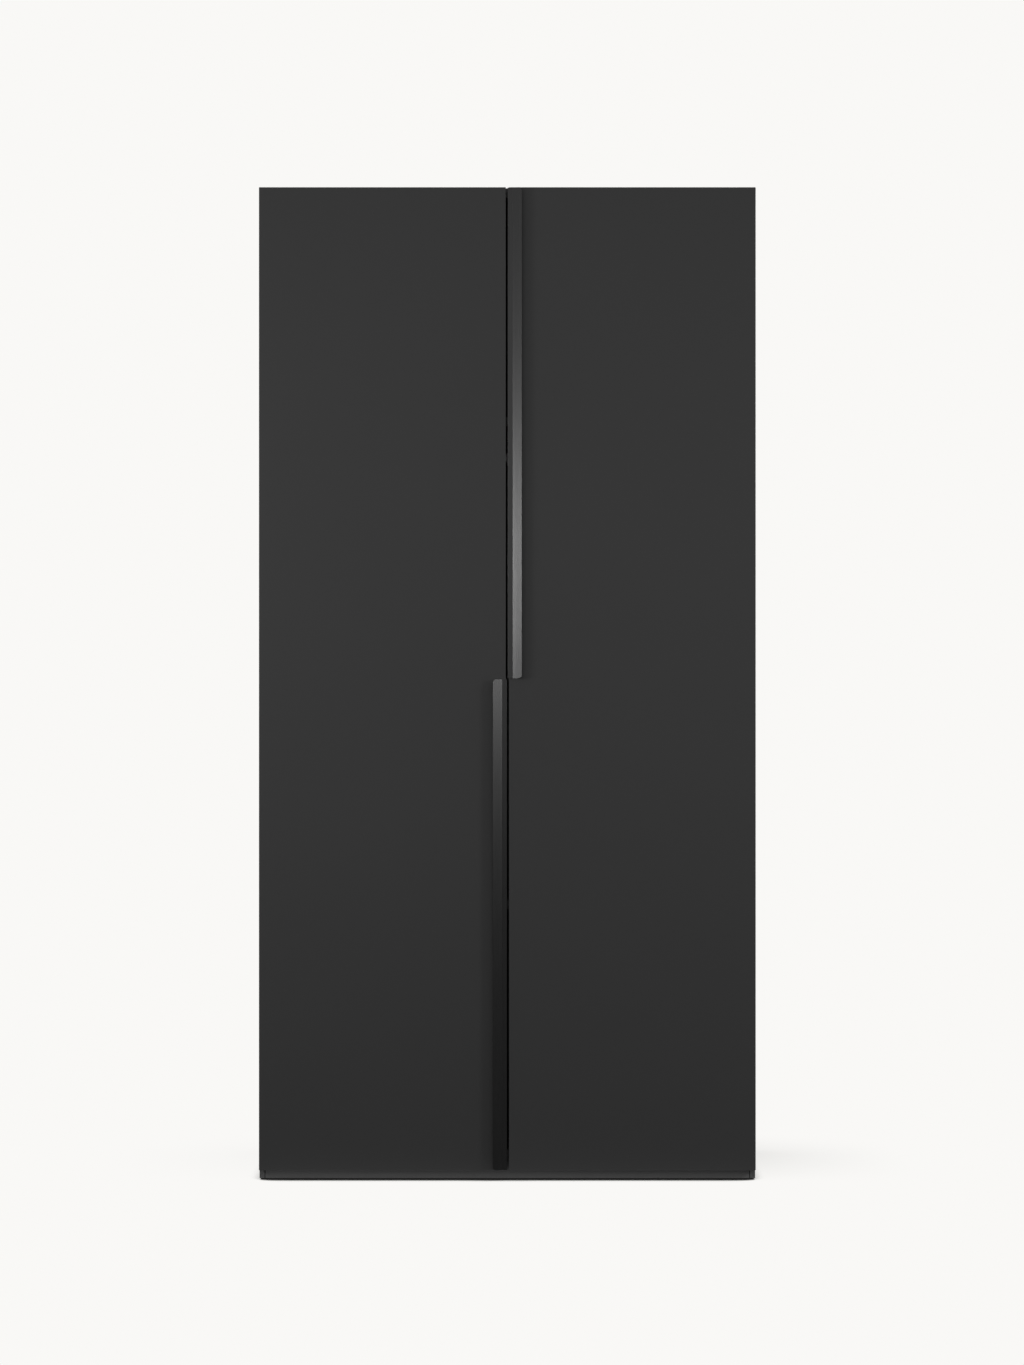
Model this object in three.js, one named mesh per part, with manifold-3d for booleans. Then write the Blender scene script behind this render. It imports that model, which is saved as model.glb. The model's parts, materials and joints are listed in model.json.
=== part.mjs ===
// Two-door wardrobe: a flat-pack board carcass on levelling feet, with full-overlay doors on
// concealed cup hinges and two half-height grip profiles, one above the other in the middle.
// Millimetres. Origin on the floor under the middle of the box, +Z up, doors facing -Y.
// What belongs to one side is built for the right half and mirrored for the left.
import * as THREE from "three";
import { mergeVertices } from "three/addons/utils/BufferGeometryUtils.js";
import Module from "manifold-3d";

const wasm = await Module();
wasm.setup();

// ---- Driving dimensions -------------------------------------------------------------------

// Carcass
const WIDTH = 1000;
const HEIGHT = 2000;
const CARCASS_DEPTH = 578;
const BOARD = 19; // sides, top, bottom, shelves
const FLOOR_GAP = 3; // shadow gap under the carcass, held by the feet
const SEAM = 0.3; // between pieces that rest on each other

// Plinth
const PLINTH_BOARD = 16;
const PLINTH_HEIGHT = 38;
const PLINTH_LIP = 10.4; // width of side panel left showing beside the plinth
const PLINTH_JOINT = 1.3; // open joint between that lip and the plinth

// Back
const BACK_BOARD = 3.2;
const BACK_INSET = 12; // rear edge of the carcass to the groove
const GROOVE_WIDTH = 4;
const GROOVE_DEPTH = 8;
const STRIP_WIDTH = 16; // H-section strip joining the two back boards
const STRIP_WALL = 1;

// Shelves and rail
const UPPER_SHELF_Z = 1529; // middle of the fixed shelf
const LOWER_SHELF_Z = 555; // middle of the shelf on pins
const SHELF_SETBACK = 8;
const SHELF_END_PLAY = 1; // loose shelf to side panel
const RAIL_DROP = 60; // middle of the fixed shelf to the middle of the rail
const RAIL_HEIGHT = 30;
const RAIL_WIDTH = 15;
const RAIL_WALL = 1.5;
const RAIL_SOCKET_WALL = 3;
const RAIL_SOCKET_DEPTH = 14;
const RAIL_PLATE = 3;
const RAIL_PLATE_MARGIN = { width: 6, height: 15 }; // plate showing round the rail
const PIN_RADIUS = 2.5;
const PIN_DEPTH = 8;
const PIN_INSET = 60; // shelf pin to the front and rear edges of the carcass
const LUG_LENGTH = 9;
const LUG_WIDTH = 12;
const LUG_HEIGHT = 6;

// Feet
const FOOT_PAD_RADIUS = 16;
const FOOT_PAD_HEIGHT = 6;
const FOOT_PAD_CHAMFER = 1;
const FOOT_SCREW_RADIUS = 4;
const FOOT_SCREW_TOP = 6; // top of the screw below the floor of the wardrobe
const SOCKET_RADIUS = 12;
const SOCKET_FLANGE_RADIUS = 28;
const SOCKET_FLANGE = 4;
const FOOT_CLEARANCE = 8; // socket flange to the boards around it

// Doors
const DOOR_THICKNESS = 19;
const DOOR_STANDOFF = 3; // door to the front edges of the carcass
const DOOR_BOTTOM = 21; // lower edge above the floor
const DOOR_SPLIT = 6; // between the two panels
const BUMPER_RADIUS = 4;
const BUMPER_INSET = 40; // bumper to the door's free edge

// Handles
const HANDLE_WALL = 2;
const HANDLE_LEG = 12; // depth of the leg down the door's free edge
const HANDLE_FLAT = 10; // flat strip on the door's face
const HANDLE_WING = 18.7; // width of the sloping wing, seen from the front
const HANDLE_RISE = 12; // how far the wing comes forward
const HANDLE_END = 1; // end of the profile to the door's end and to mid-height
const HANDLE_CORNER = 8;

// Hinges
const HINGES_PER_DOOR = 4;
const HINGE_END = 100; // first and last hinge to the door's ends
const PIVOT_INSET = 7; // pivot to the door's outer edge
const PIVOT_DEPTH = 9; // pivot to the door's rear face
const CUP_RADIUS = 17.5;
const CUP_WALL = 1;
const CUP_EDGE = 3; // cup to the door's outer edge
const CUP_FLOOR = 0.6;
const CUP_PLAY = 0.7; // arm at the bottom of its dip to the cup's floor
const BORE_CLEARANCE = 0.3;
const FLANGE_REACH = 31; // cup flange, middle to end
const FLANGE_WIDTH = 14;
const FLANGE_THICKNESS = 1;
const FLANGE_CORNER = 5;
const HINGE_PIN_RADIUS = 1.3;
const HINGE_PIN_PLAY = 0.12;
const KNUCKLE_WALL = 0.9;
const ARM_WALL = 2.4;
const ARM_NOSE_WIDTH = 7.2;
const ARM_NECK_WIDTH = 14;
const ARM_SIDE_CLEARANCE = 0.5; // arm to the inner face of the side panel
const ARM_DIP = 1.5; // how far the nose dips behind the pivot, inside the cup
const ARM_ELBOW = 1.3; // width of the bend at the bottom of the dip
const ARM_NECK_START = 4.5; // back from the pivot, where the arm becomes wider
const CHANNEL_WALL = 1.2;
const CHANNEL_LENGTH = 56;
const CHANNEL_LEAD = 5; // how far the channel stands forward of the middle of the plate
const PLATE_SETBACK = 37; // screw line of the mounting plate to the carcass front
const PLATE_BASE = 3;
const PLATE_BASE_LENGTH = 54;
const PLATE_BASE_WIDTH = 15;
const PLATE_CORNER = 6;
const PLATE_BLOCK_HEIGHT = 9;
const PLATE_BLOCK_WIDTH = 16;
const PLATE_BLOCK_LENGTH = 46;

// Wall brackets
const BRACKET_WIDTH = 30;
const BRACKET_LEG = 28;
const BRACKET_WALL = 2;
const BRACKET_INSET = 80; // bracket to the side panel

// ---- Derived planes -----------------------------------------------------------------------

const HALF = WIDTH / 2;
const INNER = HALF - BOARD; // inner face of the side panel
const HANDLE_PROUD = SEAM + HANDLE_WALL + HANDLE_RISE;
const BACK_Y = (CARCASS_DEPTH + DOOR_STANDOFF + DOOR_THICKNESS + HANDLE_PROUD) / 2;
const FRONT_Y = BACK_Y - CARCASS_DEPTH;
const DOOR_REAR_Y = FRONT_Y - DOOR_STANDOFF;
const DOOR_FRONT_Y = DOOR_REAR_Y - DOOR_THICKNESS;
const BOTTOM_Z = FLOOR_GAP + PLINTH_HEIGHT; // underside of the bottom panel
const FLOOR_Z = BOTTOM_Z + BOARD;
const CEILING_Z = HEIGHT - BOARD;
const GROOVE_REAR_Y = BACK_Y - BACK_INSET;
const GROOVE_FRONT_Y = GROOVE_REAR_Y - GROOVE_WIDTH;
const BACK_FACE_Y = GROOVE_REAR_Y - GROOVE_WIDTH / 2 - BACK_BOARD / 2; // front of the back boards
const STRIP_FACE_Y = BACK_FACE_Y - SEAM - STRIP_WALL;
const RAIL_Z = UPPER_SHELF_Z - RAIL_DROP;
const RAIL_Y = (FRONT_Y + GROOVE_FRONT_Y) / 2;
const DOOR_MIDDLE_Z = (DOOR_BOTTOM + HEIGHT) / 2;
const PIVOT_X = HALF - PIVOT_INSET;
const PIVOT_Y = DOOR_REAR_Y - PIVOT_DEPTH;
const HINGE_HEIGHTS = Array.from({ length: HINGES_PER_DOOR }, (_, i) => {
  const run = HEIGHT - DOOR_BOTTOM - 2 * HINGE_END;
  return DOOR_BOTTOM + HINGE_END + (run * i) / (HINGES_PER_DOOR - 1);
});
const PIN_PLACES = { front: FRONT_Y + PIN_INSET, rear: BACK_Y - PIN_INSET };
const PIN_Z = LOWER_SHELF_Z - BOARD / 2 - SEAM - LUG_HEIGHT / 2;
const FOOT_X = INNER - FOOT_CLEARANCE - SOCKET_FLANGE_RADIUS;
const FOOT_INSET = PLINTH_BOARD + FOOT_CLEARANCE + SOCKET_FLANGE_RADIUS;
const FOOT_PLACES = { front: FRONT_Y + FOOT_INSET, rear: GROOVE_REAR_Y - FOOT_INSET };

// ---- Materials ----------------------------------------------------------------------------

const finish = (color, roughness, metalness) =>
  new THREE.MeshStandardMaterial({ color, roughness, metalness });
const GRAPHITE = finish(0x363636, 0.75, 0);
const BACKING = finish(0x3a3a3a, 0.85, 0);
const ANODISED = finish(0x4a4a4c, 0.4, 0.8);
const NICKEL = finish(0xb9b9b6, 0.3, 1);
const STEEL = finish(0xa8a9ab, 0.35, 1);
const PLASTIC = finish(0x1c1c1d, 0.6, 0);

// ---- Shape helpers ------------------------------------------------------------------------

// A prism's outline is given in the two axes that follow its own in the order X, Y, Z, X.
const DIRECTIONS = { x: [1, 2, 0], y: [2, 0, 1], z: [0, 1, 2] };

function prism(axis, shape, from, to) {
  const geometry = new THREE.ExtrudeGeometry(shape, {
    depth: to - from,
    bevelEnabled: false,
    curveSegments: 3,
  });
  geometry.translate(0, 0, from);
  const columns = DIRECTIONS[axis].map((i) => new THREE.Vector3().setComponent(i, 1));
  return geometry.applyMatrix4(new THREE.Matrix4().makeBasis(...columns));
}

const polygon = (points) => new THREE.Shape(points.map((p) => new THREE.Vector2(...p)));

function circle(a, b, radius, sides) {
  const points = [];
  for (let i = 0; i < sides; i++) {
    const angle = (2 * Math.PI * (i + 0.5)) / sides;
    points.push([a + radius * Math.cos(angle), b + radius * Math.sin(angle)]);
  }
  return polygon(points);
}

function roundedRectangle(a0, a1, b0, b1, radius) {
  const shape = new THREE.Shape();
  shape.absarc(a1 - radius, b0 + radius, radius, -Math.PI / 2, 0);
  shape.absarc(a1 - radius, b1 - radius, radius, 0, Math.PI / 2);
  shape.absarc(a0 + radius, b1 - radius, radius, Math.PI / 2, Math.PI);
  shape.absarc(a0 + radius, b0 + radius, radius, Math.PI, 1.5 * Math.PI);
  shape.closePath();
  return shape;
}

// A slot outline: long in b, rounded at both ends.
function obround(a, b, width, length) {
  const radius = width / 2;
  const reach = length / 2 - radius;
  const shape = new THREE.Shape();
  shape.absarc(a, b + reach, radius, 0, Math.PI);
  shape.absarc(a, b - reach, radius, Math.PI, 2 * Math.PI);
  shape.closePath();
  return shape;
}

// The outline of a bent strip of even thickness, with mitred bends.
function strip(line, thickness) {
  const points = line.map((p) => new THREE.Vector2(...p));
  const normals = points.slice(1).map((p, i) => {
    const along = p.clone().sub(points[i]).normalize();
    return new THREE.Vector2(-along.y, along.x);
  });
  const edge = (side) =>
    points.map((p, i) => {
      const before = normals[Math.max(i - 1, 0)];
      const after = normals[Math.min(i, normals.length - 1)];
      const mitre = before.clone().add(after);
      return p.clone().add(mitre.multiplyScalar((side * thickness) / mitre.lengthSq()));
    });
  return new THREE.Shape([...edge(1), ...edge(-1).reverse()]);
}

function box(x0, x1, y0, y1, z0, z1) {
  const geometry = new THREE.BoxGeometry(x1 - x0, y1 - y0, z1 - z0);
  return geometry.translate((x0 + x1) / 2, (y0 + y1) / 2, (z0 + z1) / 2);
}

// ---- Solid operations ---------------------------------------------------------------------

function toSolid(geometry) {
  const bare = new THREE.BufferGeometry();
  bare.setAttribute("position", geometry.getAttribute("position"));
  bare.setIndex(geometry.index);
  const merged = mergeVertices(bare, 1e-3);
  const vertProperties = merged.getAttribute("position").array;
  const triVerts = new Uint32Array(merged.index.array);
  return new wasm.Manifold(new wasm.Mesh({ numProp: 3, vertProperties, triVerts }));
}

function toGeometry(solid) {
  const { vertProperties, triVerts } = solid.getMesh();
  const geometry = new THREE.BufferGeometry();
  geometry.setAttribute("position", new THREE.BufferAttribute(vertProperties, 3));
  geometry.setIndex(new THREE.BufferAttribute(triVerts, 1));
  const flat = geometry.toNonIndexed();
  flat.computeVertexNormals();
  return flat;
}

// Joins the first list, then takes the second list away.
function carve(joined, removed = []) {
  let solid = toSolid(joined[0]);
  for (const geometry of joined.slice(1)) solid = solid.add(toSolid(geometry));
  for (const geometry of removed) solid = solid.subtract(toSolid(geometry));
  return toGeometry(solid);
}

function common(first, second) {
  return toGeometry(toSolid(first).intersect(toSolid(second)));
}

function piece(name, geometry, material, place = [0, 0, 0]) {
  const mesh = new THREE.Mesh(geometry, material);
  mesh.name = name;
  mesh.position.set(...place);
  return mesh;
}

// ---- Carcass ------------------------------------------------------------------------------

const OVERCUT = 1; // how far a cutter runs past the face it starts from

function sidePanel() {
  const panel = box(INNER, HALF, FRONT_Y, BACK_Y, FLOOR_GAP, HEIGHT);
  const notchX = HALF - PLINTH_LIP;
  const notchY = FRONT_Y + PLINTH_BOARD + SEAM;
  const notch = box(INNER - OVERCUT, notchX, FRONT_Y - OVERCUT, notchY, 0, BOTTOM_Z);
  const low = FLOOR_Z - GROOVE_DEPTH;
  const high = CEILING_Z + GROOVE_DEPTH;
  const depth = INNER + GROOVE_DEPTH;
  const groove = box(INNER - OVERCUT, depth, GROOVE_FRONT_Y, GROOVE_REAR_Y, low, high);
  const pinHoles = Object.values(PIN_PLACES).map((y) =>
    prism("x", circle(y, PIN_Z, PIN_RADIUS + SEAM, 16), INNER - OVERCUT, INNER + PIN_DEPTH + SEAM),
  );
  return carve([panel], [notch, groove, ...pinHoles]);
}

// A board between the sides, grooved for the back; lift is +1 for a groove in its upper face.
function grooveBoard(z0, lift) {
  const panel = box(SEAM - INNER, INNER - SEAM, FRONT_Y, BACK_Y, z0, z0 + BOARD);
  const face = lift > 0 ? z0 + BOARD : z0;
  const levels = [face - lift * GROOVE_DEPTH, face + lift * OVERCUT];
  const low = Math.min(...levels);
  const high = Math.max(...levels);
  return { panel, groove: box(-HALF, HALF, GROOVE_FRONT_Y, GROOVE_REAR_Y, low, high) };
}

function topPanel() {
  const { panel, groove } = grooveBoard(CEILING_Z, -1);
  return carve([panel], [groove]);
}

function bottomPanel() {
  const { panel, groove } = grooveBoard(BOTTOM_Z, 1);
  const screwHoles = [-FOOT_X, FOOT_X].flatMap((x) =>
    Object.values(FOOT_PLACES).map((y) =>
      prism("z", circle(x, y, FOOT_SCREW_RADIUS + 1, 16), BOTTOM_Z - OVERCUT, FLOOR_Z + OVERCUT),
    ),
  );
  return carve([panel], [groove, ...screwHoles]);
}

function shelf(z, endPlay) {
  const reach = INNER - endPlay;
  const rear = STRIP_FACE_Y - SEAM;
  return box(-reach, reach, FRONT_Y + SHELF_SETBACK, rear, z - BOARD / 2, z + BOARD / 2);
}

function backBoard() {
  const edge = INNER + GROOVE_DEPTH - SEAM;
  const low = FLOOR_Z - GROOVE_DEPTH + SEAM;
  const high = CEILING_Z + GROOVE_DEPTH - SEAM;
  return box(STRIP_WALL, edge, BACK_FACE_Y, BACK_FACE_Y + BACK_BOARD, low, high);
}

// H-section: a web between the two back boards and a cover strip on each face.
function backStrip() {
  const web = STRIP_WALL - SEAM;
  const reach = STRIP_WIDTH / 2;
  const rear = BACK_FACE_Y + BACK_BOARD + SEAM;
  const low = FLOOR_Z + SEAM;
  const high = CEILING_Z - SEAM;
  return carve([
    box(-web, web, STRIP_FACE_Y, rear + STRIP_WALL, low, high),
    box(-reach, reach, STRIP_FACE_Y, STRIP_FACE_Y + STRIP_WALL, low, high),
    box(-reach, reach, rear, rear + STRIP_WALL, low, high),
  ]);
}

function plinth(front, reach) {
  return box(-reach, reach, front, front + PLINTH_BOARD, FLOOR_GAP, BOTTOM_Z - SEAM);
}

// ---- Fittings on the carcass --------------------------------------------------------------

function rail() {
  const reach = INNER - SEAM - RAIL_PLATE - SEAM;
  const tube = prism("x", obround(0, 0, RAIL_WIDTH, RAIL_HEIGHT), -reach, reach);
  const inner = obround(0, 0, RAIL_WIDTH - 2 * RAIL_WALL, RAIL_HEIGHT - 2 * RAIL_WALL);
  return carve([tube], [prism("x", inner, -reach - OVERCUT, reach + OVERCUT)]);
}

// A socket on a plate: the rail's end stands in the socket.
function railSupport() {
  const face = INNER - SEAM;
  const mouth = face - RAIL_SOCKET_DEPTH;
  const { width, height } = RAIL_PLATE_MARGIN;
  const grown = (width, height) => obround(0, 0, RAIL_WIDTH + 2 * width, RAIL_HEIGHT + 2 * height);
  const plate = prism("x", grown(width, height), face - RAIL_PLATE, face);
  const collar = prism("x", grown(RAIL_SOCKET_WALL, RAIL_SOCKET_WALL), mouth, face - RAIL_PLATE / 2);
  const hollow = prism("x", grown(SEAM, SEAM), mouth - OVERCUT, face - RAIL_PLATE);
  return carve([plate, collar], [hollow]);
}

function shelfPin() {
  const face = INNER - SEAM;
  const lug = box(face - LUG_LENGTH, face, -LUG_WIDTH / 2, LUG_WIDTH / 2, -LUG_HEIGHT / 2, LUG_HEIGHT / 2);
  return carve([lug, prism("x", circle(0, 0, PIN_RADIUS, 16), face - OVERCUT, INNER + PIN_DEPTH)]);
}

function turned(profile) {
  const points = profile.map((p) => new THREE.Vector2(...p));
  return new THREE.LatheGeometry(points, 20).rotateX(Math.PI / 2);
}

function footSocket() {
  const bore = FOOT_SCREW_RADIUS + SEAM;
  const low = FOOT_PAD_HEIGHT + SEAM;
  const high = BOTTOM_Z - SEAM;
  const shoulder = high - SOCKET_FLANGE;
  return turned([
    [bore, low],
    [SOCKET_RADIUS, low],
    [SOCKET_RADIUS, shoulder],
    [SOCKET_FLANGE_RADIUS, shoulder],
    [SOCKET_FLANGE_RADIUS, high],
    [bore, high],
    [bore, low],
  ]);
}

function footScrew() {
  const top = FLOOR_Z - FOOT_SCREW_TOP;
  return turned([
    [0, 0],
    [FOOT_PAD_RADIUS - FOOT_PAD_CHAMFER, 0],
    [FOOT_PAD_RADIUS, FOOT_PAD_CHAMFER],
    [FOOT_PAD_RADIUS, FOOT_PAD_HEIGHT],
    [FOOT_SCREW_RADIUS, FOOT_PAD_HEIGHT],
    [FOOT_SCREW_RADIUS, top],
    [0, top],
  ]);
}

// An angle under the top panel, against the back: its upright leg is screwed to the wall.
function wallBracket() {
  const reach = BRACKET_WIDTH / 2;
  const rear = BACK_FACE_Y - SEAM;
  const high = CEILING_Z - SEAM;
  return carve([
    box(-reach, reach, rear - BRACKET_LEG, rear, high - BRACKET_WALL, high),
    box(-reach, reach, rear - BRACKET_WALL, rear, high - BRACKET_LEG, high),
  ]);
}

// ---- Hinge --------------------------------------------------------------------------------
// Hinge parts are drawn about the pivot, which runs along Z at PIVOT_X, PIVOT_Y. A point is
// given by how far it lies in from the pivot, towards the middle of the door, and how far back.

const inward = ([u, v]) => [-u, v];
const DOOR_REAR = PIVOT_DEPTH; // door's rear face, back from the pivot
const CARCASS_FRONT = DOOR_REAR + DOOR_STANDOFF;
const SIDE_FACE = BOARD - PIVOT_INSET; // side panel's inner face, in from the pivot
const CUP_MIDDLE = CUP_EDGE + CUP_RADIUS - PIVOT_INSET;
const CUP_DEPTH = PIVOT_DEPTH + ARM_DIP + ARM_WALL / 2 + CUP_PLAY + CUP_FLOOR;
const KNUCKLE_RADIUS = HINGE_PIN_RADIUS + HINGE_PIN_PLAY + KNUCKLE_WALL;
const PLATE_FACE = SIDE_FACE + SEAM;
const PLATE_TOP = PLATE_FACE + PLATE_BLOCK_HEIGHT;
const PLATE_MIDDLE = CARCASS_FRONT + PLATE_SETBACK;
const CHANNEL_FRONT = PLATE_MIDDLE - CHANNEL_LENGTH / 2 - CHANNEL_LEAD;

// Box in hinge terms: in from the pivot u0..u1, back v0..v1, half height h.
const hingeBox = (u0, u1, v0, v1, h) => box(-u1, -u0, v0, v1, -h, h);

function cupRound(radius, v0, v1) {
  return prism("y", circle(0, -CUP_MIDDLE, radius, 20), v0, v1);
}

function hingeCup() {
  const rim = DOOR_REAR + SEAM + FLANGE_THICKNESS;
  const floor = DOOR_REAR - CUP_DEPTH;
  const shell = cupRound(CUP_RADIUS, floor, rim);
  const u0 = CUP_MIDDLE - FLANGE_WIDTH / 2;
  const u1 = CUP_MIDDLE + FLANGE_WIDTH / 2;
  const outline = roundedRectangle(-FLANGE_REACH, FLANGE_REACH, -u1, -u0, FLANGE_CORNER);
  const flange = prism("y", outline, DOOR_REAR + SEAM, rim);
  const hollow = cupRound(CUP_RADIUS - CUP_WALL, floor + CUP_FLOOR, rim + OVERCUT);
  // The rim is cut down to the door's face where the arm passes over it.
  const reach = CUP_MIDDLE - CUP_RADIUS - OVERCUT;
  const relief = hingeBox(reach, u0, DOOR_REAR, rim + OVERCUT, CUP_RADIUS + OVERCUT);
  const bowl = carve([shell, flange], [hollow, relief]);
  // The pin's ends stop inside the cup's wall.
  const bar = prism("z", circle(0, 0, HINGE_PIN_RADIUS, 12), -CUP_RADIUS, CUP_RADIUS);
  return carve([bowl, common(bar, cupRound(CUP_RADIUS - CUP_WALL / 2, floor, rim))]);
}

// From the knuckle on the pin the nose dips into the cup, so that it leaves the open cup square
// to the door, turns back beside the side panel and widens into a channel over the plate's block.
function hingeArm() {
  const u = SIDE_FACE + ARM_SIDE_CLEARANCE + ARM_WALL / 2;
  const elbow = [PIVOT_DEPTH, PIVOT_DEPTH + ARM_ELBOW];
  const bend = ARM_NECK_START - 1;
  const nose = [[0, 0], ...elbow.map((e) => [e, -ARM_DIP]), [u, bend], [u, ARM_NECK_START + 1]];
  const neck = [[u, ARM_NECK_START], [u, CHANNEL_FRONT + CHANNEL_WALL]];
  const sheet = (line, width) =>
    prism("z", strip(line.map(inward), ARM_WALL), -width / 2, width / 2);
  const knuckle = prism("z", circle(0, 0, KNUCKLE_RADIUS, 16), -ARM_NOSE_WIDTH / 2, ARM_NOSE_WIDTH / 2);
  const eyeRadius = HINGE_PIN_RADIUS + HINGE_PIN_PLAY;
  const eye = prism("z", circle(0, 0, eyeRadius, 16), -ARM_NOSE_WIDTH, ARM_NOSE_WIDTH);
  const low = PLATE_FACE + PLATE_BASE + SEAM;
  const top = PLATE_TOP + SEAM + CHANNEL_WALL;
  const half = PLATE_BLOCK_WIDTH / 2 + SEAM + CHANNEL_WALL;
  const inside = CHANNEL_FRONT + CHANNEL_WALL;
  const rear = CHANNEL_FRONT + CHANNEL_LENGTH;
  const web = hingeBox(u - ARM_WALL / 2, top, CHANNEL_FRONT, inside, half);
  const channel = hingeBox(low, top, CHANNEL_FRONT, rear, half);
  const trough = hingeBox(low - OVERCUT, top - CHANNEL_WALL, inside, rear + OVERCUT, half - CHANNEL_WALL);
  const body = carve([channel], [trough]);
  return carve([body, web, sheet(neck, ARM_NECK_WIDTH), sheet(nose, ARM_NOSE_WIDTH), knuckle], [eye]);
}

function hingePlate() {
  const v0 = PLATE_MIDDLE - PLATE_BASE_WIDTH / 2;
  const v1 = PLATE_MIDDLE + PLATE_BASE_WIDTH / 2;
  const reach = PLATE_BASE_LENGTH / 2;
  const wings = roundedRectangle(v0, v1, -reach, reach, PLATE_CORNER);
  const base = prism("x", wings, -PLATE_FACE - PLATE_BASE, -PLATE_FACE);
  const front = CHANNEL_FRONT + CHANNEL_WALL + SEAM;
  const half = PLATE_BLOCK_WIDTH / 2;
  return carve([base, hingeBox(PLATE_FACE, PLATE_TOP, front, front + PLATE_BLOCK_LENGTH, half)]);
}

// ---- Door ---------------------------------------------------------------------------------

function doorPanel() {
  const panel = box(DOOR_SPLIT / 2, HALF, DOOR_FRONT_Y, DOOR_REAR_Y, DOOR_BOTTOM, HEIGHT);
  const bores = HINGE_HEIGHTS.map((z) => {
    const depth = CUP_DEPTH + BORE_CLEARANCE;
    const bore = cupRound(CUP_RADIUS + BORE_CLEARANCE, DOOR_REAR - depth, DOOR_REAR + OVERCUT);
    return bore.translate(PIVOT_X, PIVOT_Y, z);
  });
  return carve([panel], bores);
}

// The leg lies on the door's free edge, the flat strip on its face, and the wing slopes forward.
function handle() {
  const length = (HEIGHT - DOOR_BOTTOM) / 2 - 2 * HANDLE_END;
  const x1 = DOOR_SPLIT / 2 - SEAM;
  const x0 = x1 - HANDLE_WALL;
  const bend = x0 + HANDLE_FLAT;
  const tip = bend + HANDLE_WING;
  const slope = HANDLE_RISE / HANDLE_WING;
  const slant = Math.hypot(1, slope) * HANDLE_WALL; // wall of the wing, measured square to the door
  const rear = DOOR_FRONT_Y - SEAM;
  const front = rear - HANDLE_WALL;
  const section = polygon([
    [x0, DOOR_FRONT_Y + HANDLE_LEG],
    [x0, front],
    [bend, front],
    [tip, front - HANDLE_RISE],
    [tip, front - HANDLE_RISE + slant],
    [bend + (slant - HANDLE_WALL) / slope, rear],
    [x1, rear],
    [x1, DOOR_FRONT_Y + HANDLE_LEG],
  ]);
  const outline = new THREE.Shape();
  const corner = tip - HANDLE_CORNER;
  outline.moveTo(0, x0 - OVERCUT);
  outline.absarc(HANDLE_CORNER, corner, HANDLE_CORNER, Math.PI, Math.PI / 2, true);
  outline.absarc(length - HANDLE_CORNER, corner, HANDLE_CORNER, Math.PI / 2, 0, true);
  outline.lineTo(length, x0 - OVERCUT);
  outline.closePath();
  const window = prism("y", outline, DOOR_FRONT_Y - HANDLE_PROUD - OVERCUT, DOOR_REAR_Y);
  return common(prism("z", section, 0, length), window);
}

// A soft stop on the door's rear face, against the front edge of the top or bottom panel.
function bumper() {
  const thickness = DOOR_STANDOFF - 2 * SEAM;
  return prism("y", circle(0, 0, BUMPER_RADIUS, 16), SEAM, SEAM + thickness);
}

// ---- Assembly -----------------------------------------------------------------------------

function middlePieces() {
  const group = new THREE.Group();
  const plinthRear = GROOVE_REAR_Y - PLINTH_BOARD;
  group.add(
    piece("top_panel", topPanel(), GRAPHITE),
    piece("bottom_panel", bottomPanel(), GRAPHITE),
    piece("upper_shelf", shelf(UPPER_SHELF_Z, SEAM), GRAPHITE),
    piece("lower_shelf", shelf(LOWER_SHELF_Z, SHELF_END_PLAY), GRAPHITE),
    piece("plinth_front", plinth(FRONT_Y, HALF - PLINTH_LIP - PLINTH_JOINT), GRAPHITE),
    piece("plinth_rear", plinth(plinthRear, INNER - SEAM), GRAPHITE),
    piece("back_joint_strip", backStrip(), PLASTIC),
    piece("hanging_rail", rail(), STEEL, [0, RAIL_Y, RAIL_Z]),
  );
  return group;
}

// Right half for mirror = 1, left half for mirror = -1. Handles fill the upper half of the
// right door and the lower half of the left one.
function sidePieces(side, mirror, handleZ) {
  const half = new THREE.Group();
  half.scale.x = mirror;
  half.add(
    piece(`side_panel_${side}`, sidePanel(), GRAPHITE),
    piece(`back_panel_${side}`, backBoard(), BACKING),
    piece(`rail_support_${side}`, railSupport(), STEEL, [0, RAIL_Y, RAIL_Z]),
    piece(`wall_bracket_${side}`, wallBracket(), STEEL, [INNER - BRACKET_INSET, 0, 0]),
    piece(`door_${side}`, doorPanel(), GRAPHITE),
    piece(`handle_${side}`, handle(), ANODISED, [0, 0, handleZ]),
  );
  for (const [end, y] of Object.entries(PIN_PLACES))
    half.add(piece(`shelf_pin_${end}_${side}`, shelfPin(), STEEL, [0, y, PIN_Z]));
  for (const [end, y] of Object.entries(FOOT_PLACES)) {
    half.add(piece(`foot_socket_${end}_${side}`, footSocket(), PLASTIC, [FOOT_X, y, 0]));
    half.add(piece(`foot_screw_${end}_${side}`, footScrew(), STEEL, [FOOT_X, y, 0]));
  }
  const bumperX = DOOR_SPLIT / 2 + BUMPER_INSET;
  const bumperHeights = { lower: BOTTOM_Z + BOARD / 2, upper: CEILING_Z + BOARD / 2 };
  for (const [end, z] of Object.entries(bumperHeights))
    half.add(piece(`door_bumper_${end}_${side}`, bumper(), PLASTIC, [bumperX, DOOR_REAR_Y, z]));
  HINGE_HEIGHTS.forEach((z, i) => {
    const hinge = new THREE.Group();
    hinge.position.set(PIVOT_X, PIVOT_Y, z);
    hinge.add(
      piece(`hinge_cup_${side}_${i + 1}`, hingeCup(), NICKEL),
      piece(`hinge_arm_${side}_${i + 1}`, hingeArm(), NICKEL),
      piece(`hinge_plate_${side}_${i + 1}`, hingePlate(), NICKEL),
    );
    half.add(hinge);
  });
  return half;
}

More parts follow.
